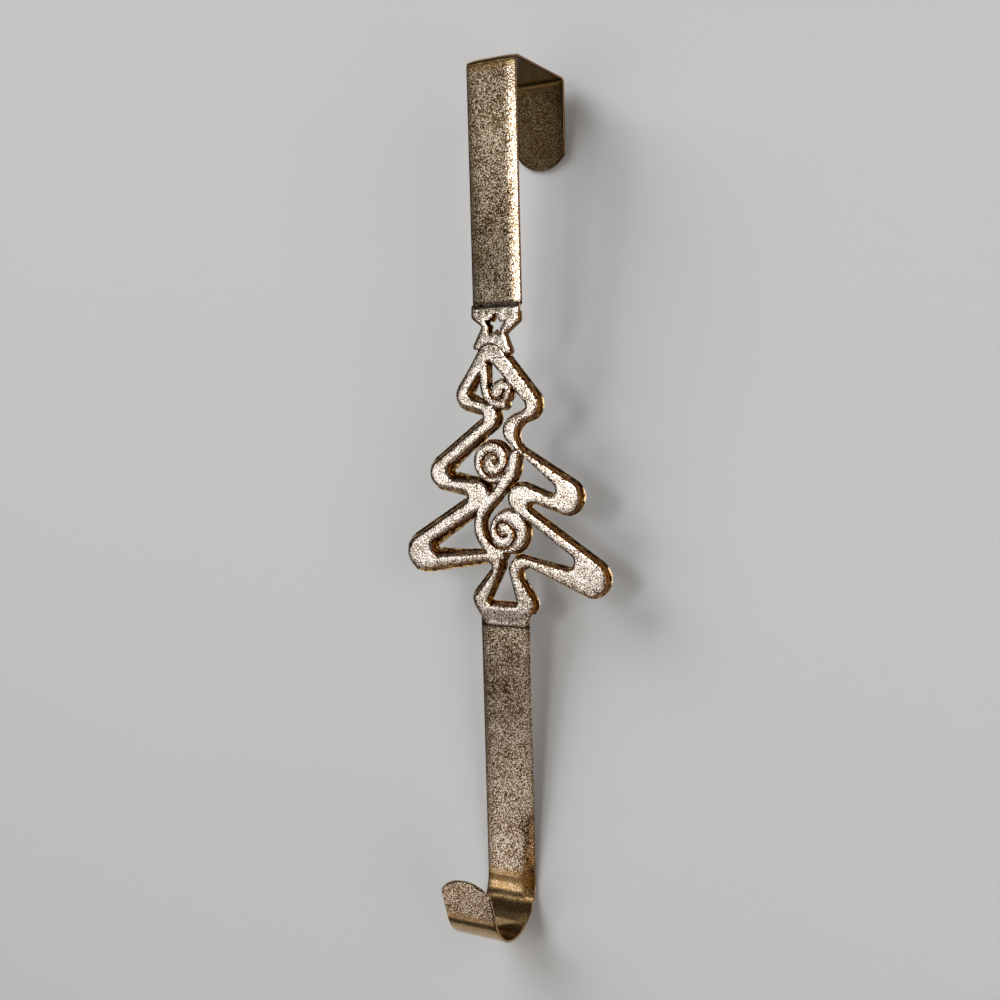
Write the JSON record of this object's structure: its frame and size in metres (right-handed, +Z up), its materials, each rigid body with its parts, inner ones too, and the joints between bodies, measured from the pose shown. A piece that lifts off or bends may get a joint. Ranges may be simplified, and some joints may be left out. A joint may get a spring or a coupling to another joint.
{
  "type": "wreath hanger",
  "caption": "Over-the-door wreath hanger: bent strip over the door, openwork cast Christmas tree with star and scrolls, and a strip below that ends in a J-hook.",
  "frame": {"origin": "centre of the bridge's underside, the face that rests on the door's top edge", "axes": "+Z up, the front of the hanger faces -Y, the return lip is at +Y, +X to the right seen from the front"},
  "size_m": [0.1018, 0.0909, 0.3762],
  "materials": {
    "plated_strip": "champagne-gold plating over a finely textured strip",
    "plated_casting": "champagne-gold plating over a fine-grained casting, bright faces and darker walls"
  },
  "bodies": {
    "root": {"door_strap": "plated_strip", "tree_casting": "plated_casting", "hook_strap": "plated_strip"}
  },
  "joints": []
}
